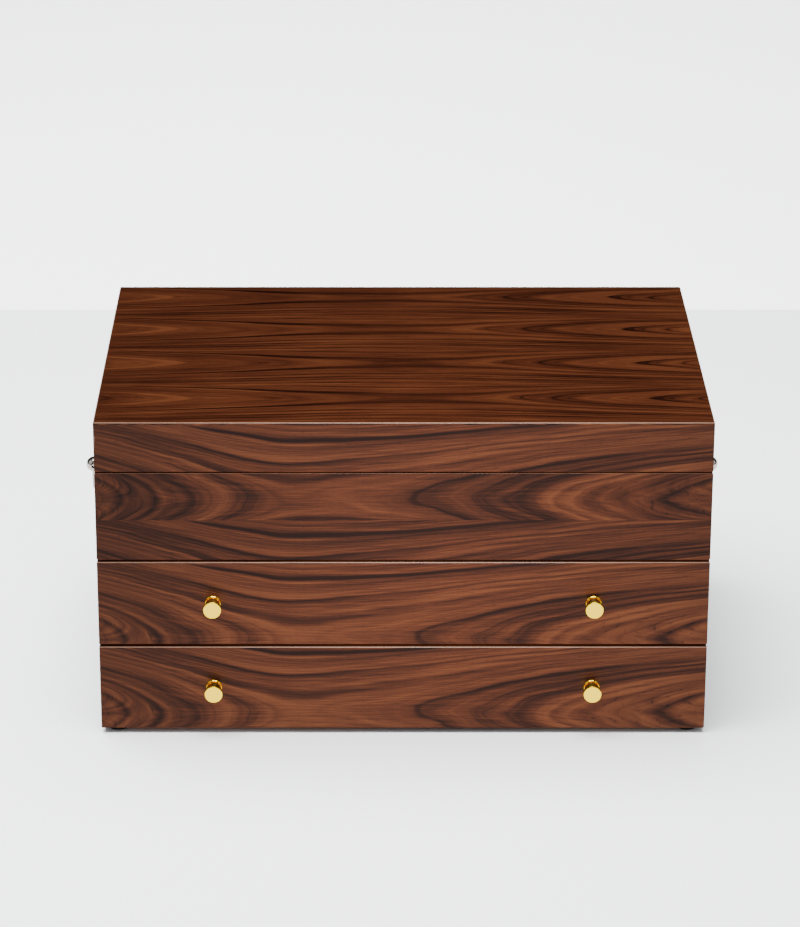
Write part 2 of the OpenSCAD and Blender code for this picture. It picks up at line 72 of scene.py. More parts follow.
class Shader:
    """Builds one material's nodes. Each method adds a node and returns the output to link on."""

    def __init__(self, name):
        self.material = bpy.data.materials.new(name)
        self.material.use_nodes = True
        self.tree = self.material.node_tree
        self.tree.nodes.clear()
        self.surface = self.node("ShaderNodeBsdfPrincipled")
        output = self.node("ShaderNodeOutputMaterial")
        self.tree.links.new(self.surface.outputs["BSDF"], output.inputs["Surface"])
        self.coordinates = None

    def node(self, kind, **settings):
        made = self.tree.nodes.new(kind)
        for key, value in settings.items():
            setattr(made, key, value)
        return made

    def feed(self, socket, value):
        if isinstance(value, bpy.types.NodeSocket):
            self.tree.links.new(value, socket)
        else:
            socket.default_value = value

    def set(self, **values):
        """Sets or links the surface's own sockets, named with _ for a space."""
        for key, value in values.items():
            self.feed(self.surface.inputs[key.replace("_", " ")], value)

    def object_place(self):
        if self.coordinates is None:
            self.coordinates = self.node("ShaderNodeTexCoord")
        return self.coordinates.outputs["Object"]

    def object_normal(self):
        self.object_place()
        return self.coordinates.outputs["Normal"]

    def split(self, vector):
        parts = self.node("ShaderNodeSeparateXYZ")
        self.feed(parts.inputs[0], vector)
        return parts.outputs[0], parts.outputs[1], parts.outputs[2]

    def join(self, x, y, z=0.0):
        joined = self.node("ShaderNodeCombineXYZ")
        for socket, value in zip(joined.inputs, (x, y, z)):
            self.feed(socket, value)
        return joined.outputs[0]

    def math(self, operation, a, b=0.0, c=0.0):
        made = self.node("ShaderNodeMath", operation=operation)
        for socket, value in zip(made.inputs, (a, b, c)):
            self.feed(socket, value)
        return made.outputs[0]

    def add(self, a, b):
        return self.math("ADD", a, b)

    def sub(self, a, b):
        return self.math("SUBTRACT", a, b)

    def mul(self, a, b):
        return self.math("MULTIPLY", a, b)

    def noise(self, vector, scale=1.0, detail=2.0, roughness=0.5, distortion=0.0):
        made = self.node("ShaderNodeTexNoise")
        for key, value in (
            ("Vector", vector),
            ("Scale", scale),
            ("Detail", detail),
            ("Roughness", roughness),
            ("Distortion", distortion),
        ):
            self.feed(made.inputs[key], value)
        return made.outputs["Fac"]

    def stretched_noise(self, first, second, third, **settings):
        """Noise over two lengths in mm, each with its own scale, and a third coordinate."""
        return self.noise(self.join(self.mul(*first), self.mul(*second), third), **settings)

    def remap(self, value, low, high, to_low=0.0, to_high=1.0):
        """A smooth step from to_low, where value is low, to to_high, where it is high."""
        made = self.node("ShaderNodeMapRange", interpolation_type="SMOOTHSTEP")
        for socket, number in zip(made.inputs, (value, low, high, to_low, to_high)):
            self.feed(socket, number)
        return made.outputs[0]

    def mix(self, factor, a, b):
        made = self.node("ShaderNodeMix", data_type="RGBA", clamp_factor=True)
        self.feed(made.inputs["Factor"], factor)
        self.feed(made.inputs[6], a)
        self.feed(made.inputs[7], b)
        return made.outputs[2]

    def choose(self, factor, a, b):
        """A number that is a where factor is 0 and b where it is 1."""
        made = self.node("ShaderNodeMix", data_type="FLOAT")
        for socket, value in zip(made.inputs[:1] + made.inputs[2:4], (factor, a, b)):
            self.feed(socket, value)
        return made.outputs[0]

    def ramp(self, value, stops):
        made = self.node("ShaderNodeValToRGB")
        elements = made.color_ramp.elements
        while len(elements) < len(stops):
            elements.new(0.5)
        for element, (place, colour) in zip(elements, stops):
            element.position = place
            element.color = (*colour, 1.0)
        self.feed(made.inputs[0], value)
        return made.outputs[0]

    def bump(self, height, distance, strength=1.0):
        made = self.node("ShaderNodeBump")
        self.feed(made.inputs["Height"], height)
        self.feed(made.inputs["Distance"], distance)
        self.feed(made.inputs["Strength"], strength)
        self.feed(self.surface.inputs["Normal"], made.outputs[0])


# ---------------------------------------------------------------- walnut

# The veneer is cut in leaves, LEAF mm wide, that repeat up the front and across the lid. In each leaf
# the growth rings are the contours of a distance from the tree's middle, which passes closest to the
# veneer part-way along it, so that the figure shows arches pointing in from both ends. All lengths
# here are in mm. In a figure, first is the edge of a leaf, axis the height of its arches in it, waist
# the place along it where they part, spread how gently they open, depth how far the tree's middle is
# under them, left and right how fast it comes nearer towards either end, drift how far each leaf is
# shifted from the last, streak the ring that is a dark streak, point how pointed the arches are, and
# wander how far the rings stray.
LEAF = 65.5
FRONT_FIGURE = {
    "first": -10.0,
    "axis": 41.0,
    "waist": -60.0,
    "spread": 100.0,
    "depth": 50.0,
    "left": 0.42,
    "right": 0.15,
    "drift": 0.0,
    "streak": 67.1,
    "point": 1.8,
    "wander": 5.0,
}
TOP_FIGURE = {
    "first": 0.0,
    "axis": 23.0,
    "waist": -15.0,
    "spread": 100.0,
    "depth": 26.0,
    "left": 0.12,
    "right": 0.12,
    "drift": 6.0,
    "streak": 27.5,
    "point": 1.8,
    "wander": 3.5,
}
WALNUT = [
    (0.33, (0.018, 0.0044, 0.0022)),
    (0.44, (0.050, 0.0125, 0.0050)),
    (0.54, (0.100, 0.0250, 0.0090)),
    (0.68, (0.190, 0.0560, 0.0190)),
]
INNER_WALNUT = [
    (0.34, (0.022, 0.0085, 0.0050)),
    (0.50, (0.058, 0.0230, 0.0120)),
    (0.68, (0.110, 0.0480, 0.0250)),
]
# a painted highlight: the pale colour mixed into the eased upper edges
EDGE_HIGHLIGHT = (0.42, 0.24, 0.16, 1)
# growth lines: the distance between them, and the place of one of them in the ring coordinate, in mm
GROWTH = 6.1
GROWTH_FIRST = 46.2
# how far the figure of the sides is moved along from that of the front, in m
SIDE_SHIFT = 0.09
# a face looks along an axis where that part of its normal is over this
FACING = 0.6


def rings(shader, along, across, figure):
    """The ring coordinate in mm, the leaf's number, the place along it, the fibres' coordinate, and
    how strongly the rings show, which is less where the veneer only grazes them."""
    shifted = shader.sub(across, figure["first"])
    leaf = shader.math("FLOOR", shader.math("DIVIDE", shifted, LEAF))
    across = shader.math("WRAP", across, figure["first"] + LEAF, figure["first"])
    along = shader.sub(along, shader.mul(leaf, figure["drift"]))
    # slow wander of the rings, a little different in each leaf
    sheet = shader.mul(leaf, 0.15)
    wander = shader.stretched_noise((along, 0.008), (across, 0.03), sheet, detail=2.0)
    ripple = shader.stretched_noise((along, 0.03), (across, 0.12), sheet, detail=1.0)
    away = shader.sub(along, figure["waist"])
    reach = shader.math("SQRT", shader.add(shader.mul(away, away), figure["spread"] ** 2))
    reach = shader.sub(reach, figure["spread"])
    taper = shader.remap(away, -30.0, 30.0, figure["left"], figure["right"])
    depth = shader.sub(figure["depth"], shader.mul(reach, taper))
    height = shader.sub(across, figure["axis"])
    power = figure["point"]
    high = shader.math("POWER", shader.math("ABSOLUTE", height), power)
    deep = shader.math("POWER", shader.math("MAXIMUM", depth, 1.0), power)
    ring = shader.math("POWER", shader.add(high, deep), 1.0 / power)
    ring = shader.add(ring, shader.mul(shader.sub(wander, 0.5), figure["wander"]))
    ring = shader.add(ring, shader.mul(shader.sub(ripple, 0.5), 0.8))
    # fibres run along the leaf and lean with the rings on either side of its axis
    lean = shader.remap(height, -20.0, 20.0, 0.7, -0.7)
    fibre = shader.add(across, shader.mul(shader.mul(reach, taper), lean))
    fibre = shader.add(fibre, shader.mul(wander, figure["wander"]))
    calm = shader.remap(shader.math("ABSOLUTE", height), 2.0, 22.0, 0.6, 1.0)
    return ring, leaf, along, fibre, calm


def veneer_tone(shader, on_top, ring, leaf, along, strand, calm):
    """How pale the veneer is at each place, as a number for the WALNUT ramp, with its fibres and pores."""
    # broad bands, growth lines, and fibres that all follow the rings
    band = shader.stretched_noise((ring, 0.13), (along, 0.003), 3.0, detail=1.0)
    fine = shader.choose(on_top, 0.52, 0.66)
    line = shader.stretched_noise((ring, fine), (along, 0.005), 7.0, detail=3.0, roughness=0.62)
    fibre = shader.stretched_noise((strand, 1.6), (along, 0.025), leaf, detail=3.0, roughness=0.7)
    pore = shader.stretched_noise((strand, 3.6), (along, 0.22), leaf, detail=1.0)
    cloud = shader.stretched_noise((along, 0.012), (ring, 0.05), leaf, detail=1.0)

    # the figure is fainter towards the left end of the front
    contrast = shader.choose(on_top, shader.remap(along, -190.0, -110.0, 0.42, 0.64), 0.72)
    lines = shader.mul(shader.sub(line, 0.5), contrast)
    tone = shader.mul(shader.add(shader.mul(shader.sub(band, 0.5), 0.30), lines), calm)

    # darker growth lines, evenly spaced, that come and go
    turns = shader.mul(shader.sub(ring, GROWTH_FIRST), 2 * math.pi / GROWTH)
    growth = shader.add(shader.mul(shader.math("COSINE", turns), 0.5), 0.5)
    growth = shader.mul(shader.math("POWER", growth, 3.0), shader.remap(cloud, 0.30, 0.65, 0.25, 1.0))
    tone = shader.sub(tone, shader.mul(growth, shader.choose(on_top, 0.11, 0.05)))

    tone = shader.add(tone, shader.mul(shader.sub(fibre, 0.5), 0.42))
    tone = shader.add(tone, shader.mul(shader.sub(cloud, 0.5), 0.18))
    tone = shader.sub(tone, shader.mul(shader.remap(line, 0.42, 0.32), shader.choose(on_top, 0.05, 0.15)))

    # one dark streak in each leaf; the front's is darkest left of the middle
    streak_ring = shader.choose(on_top, FRONT_FIGURE["streak"], TOP_FIGURE["streak"])
    streak = shader.remap(shader.math("ABSOLUTE", shader.sub(ring, streak_ring)), 0.2, 1.7, 1.0, 0.0)
    strength = shader.mul(
        shader.remap(along, -140.0, -110.0),
        shader.remap(along, -10.0, 70.0, 0.30, 0.12),
    )
    tone = shader.sub(tone, shader.mul(streak, shader.choose(on_top, strength, 0.12)))

    # the heart of each arch on the top is paler, and the pores are darker
    core = shader.mul(shader.remap(ring, 18.0, 20.0, 1.0, 0.0), on_top)
    tone = shader.add(tone, shader.mul(core, 0.05))
    tone = shader.sub(tone, shader.mul(shader.remap(pore, 0.62, 0.72), 0.08))
    return tone, fibre, pore


def painted_edge_highlight(shader, nx, ny, nz):
    """How strongly a painted highlight shows, which is on the eased upper edges."""
    squareness = shader.math("MAXIMUM", shader.math("ABSOLUTE", nx), shader.math("ABSOLUTE", ny))
    squareness = shader.math("MAXIMUM", squareness, shader.math("ABSOLUTE", nz))
    return shader.mul(shader.remap(squareness, 0.97, 0.88), shader.remap(nz, 0.1, 0.4, 0.0, 0.85))


def walnut(name, streak_z, darken=0.0):
    """Lacquered walnut veneer. streak_z is the height at which the front's dark streak runs, and
    darken makes the whole sheet darker."""
    shader = Shader(name)
    x, y, z = shader.split(shader.object_place())
    nx, ny, nz = shader.split(shader.object_normal())
    on_side = shader.math("GREATER_THAN", shader.math("ABSOLUTE", nx), FACING)
    on_top = shader.math("GREATER_THAN", shader.math("ABSOLUTE", nz), FACING)
    along = shader.mul(shader.choose(on_side, x, shader.add(y, SIDE_SHIFT)), IN_MM)
    down = shader.mul(shader.sub(streak_z, z), IN_MM)
    forward = shader.mul(shader.sub(back_y, y), IN_MM)
    front = rings(shader, along, down, FRONT_FIGURE)
    top = rings(shader, along, forward, TOP_FIGURE)
    blended = [shader.choose(on_top, a, b) for a, b in zip(front, top)]
    tone, fibre, pore = veneer_tone(shader, on_top, *blended)
    tone = shader.add(tone, 0.55 - darken)
    # the eased upper edges carry a painted highlight in the base colour
    shader.set(
        Base_Color=shader.mix(painted_edge_highlight(shader, nx, ny, nz), shader.ramp(tone, WALNUT), EDGE_HIGHLIGHT),
        Roughness=shader.remap(fibre, 0.3, 0.7, 0.36, 0.30),
        Specular_IOR_Level=0.3,
    )
    grain = shader.sub(shader.mul(fibre, 0.4), shader.remap(pore, 0.60, 0.72))
    shader.bump(grain, 0.03 * MM, 0.5)
    return shader.material


# each tier of the front is cut from its own stretch of a leaf, so its streak lies at its own height
lid_walnut = walnut("walnut_lid", top_z - 11.6 * MM)
# the well's sheet is made darker all over
well_walnut = walnut("walnut_well", well_high.z - 41.0 * MM, darken=0.045)
upper_walnut = walnut("walnut_upper_drawer", upper_high.z - 10.9 * MM)
lower_walnut = walnut("walnut_lower_drawer", lower_high.z - 4.2 * MM)


def straight_walnut(name, across, stops):
    """Straight-grained wood. across is 0 where the grain runs along X and 1 where it runs along Y, or
    "mitred" for a frame round the mirror, whose grain runs along each of its four sides."""
    shader = Shader(name)
    x, y, z = [shader.mul(part, IN_MM) for part in shader.split(shader.object_place())]
    if across == "mitred":
        beyond_x = shader.sub(shader.math("ABSOLUTE", x), glass_high.x * IN_MM)
        from_middle = shader.math("ABSOLUTE", shader.sub(y, mid_y * IN_MM))
        beyond_y = shader.sub(from_middle, (glass_high.y - mid_y) * IN_MM)
        across = shader.math("GREATER_THAN", beyond_x, beyond_y)
    along = shader.choose(across, x, y)
    aside = shader.choose(across, y, x)

    def grain(length, width, **settings):
        return shader.stretched_noise((along, length), (aside, width), shader.mul(z, width), **settings)

    line = grain(0.008, 0.35, detail=3.0, roughness=0.6)
    fibre = grain(0.04, 1.9, detail=3.0, roughness=0.7)
    pore = shader.remap(grain(0.2, 3.2, detail=1.0), 0.62, 0.72)
    tone = shader.add(shader.mul(line, 0.7), shader.mul(fibre, 0.35))
    tone = shader.sub(tone, shader.mul(pore, 0.08))
    shader.set(
        Base_Color=shader.ramp(tone, stops),
        Roughness=shader.remap(fibre, 0.3, 0.7, 0.62, 0.50),
        Specular_IOR_Level=0.1,
    )
    shader.bump(shader.sub(fibre, pore), 0.05 * MM, 0.6)
    return shader.material


# ---------------------------------------------------------------- other materials


def polished(name, dark, light):
    """Polished metal with faint smudges and fine turning marks."""
    shader = Shader(name)
    place = shader.object_place()
    smudge = shader.noise(place, scale=180.0, detail=3.0)
    marks = shader.noise(place, scale=2600.0, detail=1.0)
    shader.set(
        Base_Color=shader.mix(smudge, dark, light),
        Metallic=1.0,
        Roughness=shader.remap(smudge, 0.3, 0.7, 0.12, 0.20),
    )
    shader.bump(marks, 0.01 * MM, 0.3)
    return shader.material


def napped(name, dark, light, pile, sheen, depth):
    """A cloth with a raised nap: brushed patches lean one way or another, over fine short fibres. pile
    is the scale of the fibres and depth how high they stand."""
    shader = Shader(name)
    place = shader.object_place()
    patch = shader.remap(shader.noise(place, scale=32.0, detail=2.0, distortion=0.8), 0.36, 0.64)
    fibre = shader.noise(place, scale=pile, detail=3.0, roughness=0.75)
    clump = shader.noise(place, scale=pile * 0.22, detail=2.0)
    tone = shader.add(shader.mul(patch, 0.34), shader.mul(fibre, 0.45))
    tone = shader.add(tone, shader.mul(clump, 0.30))
    shader.set(
        Base_Color=shader.mix(tone, dark, light),
        Roughness=0.95,
        Specular_IOR_Level=0.12,
        Sheen_Weight=sheen,
        Sheen_Roughness=0.45,
        Sheen_Tint=light,
    )
    shader.bump(shader.add(fibre, shader.mul(clump, 0.6)), depth, 0.7)
    return shader.material


def rubber_material():
    """Moulded black rubber with a fine pebble and patches of dust."""
    shader = Shader("moulded_rubber")
    place = shader.object_place()
    pebble = shader.noise(place, scale=2200.0, detail=2.0)
    dust = shader.remap(shader.noise(place, scale=260.0, detail=3.0), 0.5, 0.75, 0.0, 0.35)
    shader.set(
        Base_Color=shader.mix(dust, (0.013, 0.012, 0.012, 1), (0.06, 0.055, 0.05, 1)),
        Roughness=shader.remap(pebble, 0.3, 0.7, 0.55, 0.75),
    )
    shader.bump(pebble, 0.06 * MM, 0.5)
    return shader.material


def mirror_material():
    """Silvered glass, greener towards its edge, with the faintest smears."""
    shader = Shader("silvered_glass")
    x, y, z = shader.split(shader.object_place())
    rim_x = shader.sub(glass_high.x, shader.math("ABSOLUTE", x))
    rim_y = shader.sub(glass_high.y - mid_y, shader.math("ABSOLUTE", shader.sub(y, mid_y)))
    rim = shader.math("MINIMUM", rim_x, rim_y)
    smear = shader.noise(shader.object_place(), scale=25.0, detail=4.0)
    inside = shader.remap(rim, 2 * MM, 10 * MM)
    shader.set(
        Base_Color=shader.mix(inside, (0.70, 0.78, 0.77, 1), (0.90, 0.92, 0.92, 1)),
        Metallic=1.0,
        Roughness=shader.remap(smear, 0.35, 0.75, 0.005, 0.02),
    )
    return shader.material


def matt_paint(name, dark, light, roughness):
    """Smooth painted board, with the slight unevenness of a rolled coat."""
    shader = Shader(name)
    coat = shader.noise(shader.object_place(), scale=3.0, detail=2.0)
    shader.set(Base_Color=shader.mix(coat, dark, light), Roughness=roughness)
    return shader.material


brass = polished("polished_brass", (0.83, 0.56, 0.01, 1), (0.90, 0.63, 0.03, 1))
nickel = polished("polished_nickel", (0.40, 0.36, 0.33, 1), (0.50, 0.45, 0.41, 1))
rim_walnut = {
    "x": straight_walnut("rim_walnut_x", 0.0, WALNUT),
    "y": straight_walnut("rim_walnut_y", 1.0, WALNUT),
}
inner_walnut = {
    "x": straight_walnut("inner_walnut_x", 0.0, INNER_WALNUT),
    "y": straight_walnut("inner_walnut_y", 1.0, INNER_WALNUT),
}
frame_walnut = straight_walnut("frame_walnut", "mitred", WALNUT)
suede = napped("suede", (0.36, 0.27, 0.19, 1), (0.66, 0.55, 0.42, 1), 1500.0, 0.35, 0.16 * MM)
velvet = napped("velvet", (0.30, 0.22, 0.15, 1), (0.64, 0.52, 0.39, 1), 2600.0, 0.8, 0.10 * MM)
felt = napped("felt", (0.012, 0.010, 0.009, 1), (0.050, 0.042, 0.038, 1), 1900.0, 0.25, 0.20 * MM)
thread = napped("thread", (0.62, 0.52, 0.38, 1), (0.90, 0.82, 0.68, 1), 3200.0, 0.2, 0.05 * MM)
rubber = rubber_material()
silvering = mirror_material()

# ---------------------------------------------------------------- CAD nodes


def dress(names, material):
    for name in names:
        node = nodes[name]
        node.data.materials.clear()
        node.data.materials.append(material)


def dress_rim(name, material):
    """Gives a panel's level faces, other than the lid's top, a second material."""
    mesh = nodes[name].data
    mesh.materials.append(material)
    for face in mesh.polygons:
        if abs(face.normal.z) > 0.9 and face.center.z < top_z - MM:
            face.material_index = 1


FRONT_WOOD = [
    "lid_top_panel",
    "lid_front_rail",
    "well_front_panel",
    "upper_drawer_front",
    "lower_drawer_front",
]
dress(["lid_top_panel", "lid_front_rail", "lid_back_rail", "lid_left_rail", "lid_right_rail"], lid_walnut)
dress(["well_front_panel", "left_side_panel", "right_side_panel", "back_panel"], well_walnut)
dress(["upper_drawer_front"], upper_walnut)
dress(["lower_drawer_front"], lower_walnut)
for name in ("lid_left_rail", "lid_right_rail", "left_side_panel", "right_side_panel"):
    dress_rim(name, rim_walnut["y"])
for name in FRONT_WOOD[1:] + ["lid_back_rail", "back_panel"]:
    dress_rim(name, rim_walnut["x"])
dress(["mirror_frame"], frame_walnut)
dress(["mirror_glass"], silvering)
dress(["feet"], rubber)
dress(["bottom_panel", "well_floor_panel", "drawer_shelf"], inner_walnut["x"])
for drawer in ("upper_drawer_", "lower_drawer_"):
    dress([drawer + "left_side", drawer + "right_side"], inner_walnut["y"])
    dress([drawer + "back", drawer + "bottom"], inner_walnut["x"])
BRASS_NODES = [name for name in nodes if "hinge" in name or "knob" in name]
NICKEL_NODES = [name for name in nodes if "handle" in name]
dress(BRASS_NODES, brass)
dress(NICKEL_NODES, nickel)

# ---------------------------------------------------------------- eased edges

EASE = 0.9 * MM
SAME_PLACE = 0.001 * MM
NEAR_PLANE = 0.02 * MM


def near_any(value, places):
    return any(abs(value - place) < NEAR_PLANE for place in places)


def ease(name, x=(), y=(), z=()):
    """Rounds a node's edges where two of the listed face planes meet. Other edges stay sharp."""
    node = nodes[name]
    mesh = node.data
    planes = (x, y, z)
    if "custom_normal" in mesh.attributes:
        mesh.attributes.remove(mesh.attributes["custom_normal"])
    weights = mesh.attributes.new("bevel_weight_edge", "FLOAT", "EDGE")
    for edge in mesh.edges:
        start, end = (mesh.vertices[i].co for i in edge.vertices)
        fixed = [axis for axis in range(3) if abs(start[axis] - end[axis]) < SAME_PLACE]
        outer = [axis for axis in fixed if near_any(start[axis], planes[axis])]
        rounded = len(fixed) == 2 and len(outer) == 2
        weights.data[edge.index].value = 1.0 if rounded else 0.0
        edge.use_edge_sharp = not rounded
    for face in mesh.polygons:
        face.use_smooth = True
    weld = node.modifiers.new("weld", "WELD")
    weld.merge_threshold = SAME_PLACE
    bevel = node.modifiers.new("eased_edges", "BEVEL")
    bevel.limit_method = "WEIGHT"
    bevel.width = EASE
    bevel.segments = 3
    bevel.harden_normals = True


sides = (-half_width, half_width)
depths = (front_y, back_y)
ease("lid_top_panel", sides, depths, (top_z,))
ease("lid_front_rail", sides, (front_y,), (rail_low.z,))
ease("lid_back_rail", sides, (back_y,), (rail_low.z,))
ease("lid_left_rail", sides, (), (rail_low.z,))
ease("lid_right_rail", sides, (), (rail_low.z,))
ease("well_front_panel", sides, (front_y,), (well_low.z, well_high.z))
ease("left_side_panel", sides, (), (side_low.z, side_high.z))
ease("right_side_panel", sides, (), (side_low.z, side_high.z))
ease("back_panel", sides, (back_y,), (back_low.z, back_high.z))
ease("upper_drawer_front", sides, (front_y,), (upper_low.z, upper_high.z))
ease("lower_drawer_front", sides, (front_y,), (lower_low.z, lower_high.z))

# ---------------------------------------------------------------- padded lining

FLAT = (0, 0, 0)
SEAM_HALF = 0.8 * MM
SEAM_DEPTH = 0.55 * MM
STITCH = 2.2 * MM
STITCH_PITCH = 3.4 * MM
THREAD_RADIUS = 0.28 * MM
CLOTH_FRAMES = 20


def solids(name):
    """The lowest and highest corners of each separate solid in a CAD node."""
    mesh = bmesh.new()
    mesh.from_mesh(nodes[name].data)
    bmesh.ops.remove_doubles(mesh, verts=mesh.verts, dist=SAME_PLACE)
    boxes = []
    for first in mesh.verts:
        if first.tag:
            continue
        first.tag = True
        part = [first]
        for vert in part:
            for edge in vert.link_edges:
                other = edge.other_vert(vert)
                if not other.tag:
                    other.tag = True
                    part.append(other)
        low = Vector([min(vert.co[axis] for vert in part) for axis in range(3)])
        high = Vector([max(vert.co[axis] for vert in part) for axis in range(3)])
        boxes.append((low, high))
    mesh.free()
    return boxes


def stations(low, high, edge, step, seam=0.0):
    """Places from low to high for grid lines: close together over the rounded edges and the seam,
    and about step apart between them."""
    near = [0.0, 0.3 * edge, 0.65 * edge, edge]
    if seam:
        near += [seam - SEAM_HALF, seam, seam + SEAM_HALF]
    span = high - low - 2 * near[-1]
    count = max(1, round(span / step))
    middle = [low + near[-1] + span * i / count for i in range(1, count)]
    return [low + place for place in near] + middle + [high - place for place in reversed(near)]


def padded_block(mesh, low, high, *, edge, step, crown, pull=0.0, seam=0.0):
    """Adds a closed block between two corners, with rounded edges and crowned faces. crown gives how
    far the rims of the low faces and of the high faces lie under their middles, by axis. pull is how
    far its upright sides are drawn in between its corners."""
    lines = [stations(low[axis], high[axis], edge, step, seam if axis < 2 else 0.0) for axis in range(3)]
    last = [len(line) - 1 for line in lines]
    made = {}

    def share(point, axis):
        return (point[axis] - low[axis]) / (high[axis] - low[axis])

    def hill(point, axis):
        height = 1.0
        for other in range(3):
            if other != axis:
                height *= 1 - (2 * share(point, other) - 1) ** 4
        return height

    def corner(index):
        if index not in made:
            point = Vector([lines[axis][index[axis]] for axis in range(3)])
            core = Vector([min(max(point[axis], low[axis] + edge), high[axis] - edge) for axis in range(3)])
            placed = core + (point - core).normalized() * edge
            for axis in range(3):
                fall = 1 - hill(point, axis)
                along = share(point, axis)
                placed[axis] += (crown[0][axis] * (1 - along) - crown[1][axis] * along) * fall
                if axis < 2:
                    slack = pull * (1 - (2 * share(point, 1 - axis) - 1) ** 2)
                    placed[axis] += slack * (1 - 2 * along)
            made[index] = mesh.verts.new(placed)
        return made[index]

    for axis in range(3):
        u, v = (axis + 1) % 3, (axis + 2) % 3
        for side in (0, last[axis]):
            for i in range(last[u]):
                for j in range(last[v]):
                    quad = []
                    for across, up in ((0, 0), (1, 0), (1, 1), (0, 1)):
                        index = [side, side, side]
                        index[u] = i + across
                        index[v] = j + up
                        quad.append(corner(tuple(index)))
                    if side == 0:
                        quad.reverse()
                    mesh.faces.new(quad)


def padded_roll(mesh, low, high):
    """Adds a sewn roll along X: round above, flat where it lies, and gathered at its ends."""
    radius = (high.y - low.y) / 2
    middle_y = (low.y + high.y) / 2
    middle_z = high.z - radius
    around = 28
    pleats = 9
    gathered = 3 * MM
    rows = []
    for x in stations(low.x, high.x, gathered, 4 * MM):
        inside = min(x - low.x, high.x - x)
        fullness = math.sqrt(1 - (1 - min(inside / gathered, 1.0)) ** 2)
        size = radius * (0.35 + 0.65 * fullness)
        gather = 0.06 * (1 - fullness)
        row = []
        for i in range(around):
            angle = 2 * math.pi * i / around
            reach = size * (1 + gather * math.cos(pleats * angle))
            z = max(middle_z + reach * math.sin(angle), low.z)
            row.append(mesh.verts.new((x, middle_y + reach * math.cos(angle), z)))
        rows.append(row)
    for row, after in zip(rows, rows[1:]):
        for i in range(around):
            j = (i + 1) % around
            mesh.faces.new((row[i], after[i], after[j], row[j]))
    mesh.faces.new(rows[0])
    mesh.faces.new(list(reversed(rows[-1])))


def felt_dot(mesh, low, high, axis):
    """Adds a die-cut felt disc, slightly domed, whose flat face is across axis."""
    radius = (high[(axis + 1) % 3] - low[(axis + 1) % 3]) / 2
    middle = (low + high) / 2
    thick = high[axis] - low[axis]
    around = 32
    profile = [(0.45, 0.0), (0.94, 0.0), (1.0, 0.12), (1.0, 0.7), (0.95, 0.88), (0.7, 0.97), (0.3, 1.0)]
    rows = []
    for size, height in profile:
        row = []
        for i in range(around):
            angle = 2 * math.pi * i / around
            place = middle.copy()
            place[axis] = low[axis] + thick * height if axis == 2 else high[axis] - thick * height
            place[(axis + 1) % 3] += radius * size * math.cos(angle)
            place[(axis + 2) % 3] += radius * size * math.sin(angle)
            row.append(mesh.verts.new(place))
        rows.append(row)
    for row, after in zip(rows, rows[1:]):
        for i in range(around):
            j = (i + 1) % around
            mesh.faces.new((row[i], row[j], after[j], after[i]))
    mesh.faces.new(list(reversed(rows[0])))
    mesh.faces.new(rows[-1])


def finish_piece(name, mesh, material, body, replaced, smooth_levels=1):
    """Turns a bmesh into a piece that rides on a body and stands for a CAD node."""
    bmesh.ops.recalc_face_normals(mesh, faces=mesh.faces)
    data = bpy.data.meshes.new(name)
    mesh.to_mesh(data)
    mesh.free()
    data.materials.append(material)
    for face in data.polygons:
        face.use_smooth = True
    piece = bpy.data.objects.new(name, data)
    bpy.context.scene.collection.objects.link(piece)
    if smooth_levels:
        smooth = piece.modifiers.new("smooth", "SUBSURF")
        smooth.levels = smooth_levels
        smooth.render_levels = smooth_levels
    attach(piece, body)
    if replaced:
        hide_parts(replaced)
    return piece


def puff(mesh, is_held, rise, low, high, pressure=4.0):
    """Fills a closed skin with air as cloth does, with its held points fixed. The cloth's own movement
    gives the shape; it is then scaled so that nearly all of it stays within rise, and kept inside
    the space between low and high."""
    data = bpy.data.meshes.new("skin")
    mesh.to_mesh(data)
    skin = bpy.data.objects.new("skin", data)
    bpy.context.scene.collection.objects.link(skin)
    held = skin.vertex_groups.new(name="held")
    held.add([vert.index for vert in data.vertices if is_held(vert.co)], 1.0, "REPLACE")
    modifier = skin.modifiers.new("fabric", "CLOTH")
    cloth = modifier.settings
    cloth.quality = 6
    cloth.mass = 0.3
    cloth.vertex_group_mass = "held"
    cloth.use_pressure = True
    cloth.uniform_pressure_force = pressure
    cloth.effector_weights.gravity = 0.0
    modifier.point_cache.frame_start = 1
    modifier.point_cache.frame_end = CLOTH_FRAMES
    scene = bpy.context.scene
    for step in range(1, CLOTH_FRAMES + 1):
        scene.frame_set(step)
    shaped = skin.evaluated_get(bpy.context.evaluated_depsgraph_get())
    moves = [after.co - before.co for before, after in zip(data.vertices, shaped.data.vertices)]
    scene.frame_set(1)
    sizes = sorted(move.length for move in moves)
    scale = rise / max(sizes[int(0.97 * len(sizes))], 0.01 * MM)
    mesh.verts.ensure_lookup_table()
    for vert, move in zip(mesh.verts, moves):
        move = move * scale
        if move.length > rise:
            move = move * (rise / move.length)
        place = vert.co + move
        vert.co = [min(max(place[axis], low[axis]), high[axis]) for axis in range(3)]
    bpy.data.objects.remove(skin)
    bpy.data.meshes.remove(data)


def stitch(mesh, start, end, radius):
    """Adds one stitch: a short spindle of thread from start to end."""
    run = end - start
    side = run.cross(Vector((0, 0, 1))).normalized()
    up = side.cross(run).normalized()
    tips = [mesh.verts.new(start), mesh.verts.new(end)]
    rows = []
    for share in (0.18, 0.82):
        row = []
        for i in range(6):
            angle = math.pi * i / 3
            offset = side * math.cos(angle) + up * math.sin(angle)
            row.append(mesh.verts.new(start + run * share + offset * radius))
        rows.append(row)
    for i in range(6):
        j = (i + 1) % 6
        mesh.faces.new((rows[0][i], rows[0][j], rows[1][j], rows[1][i]))
        mesh.faces.new((tips[0], rows[0][j], rows[0][i]))
        mesh.faces.new((tips[1], rows[1][i], rows[1][j]))


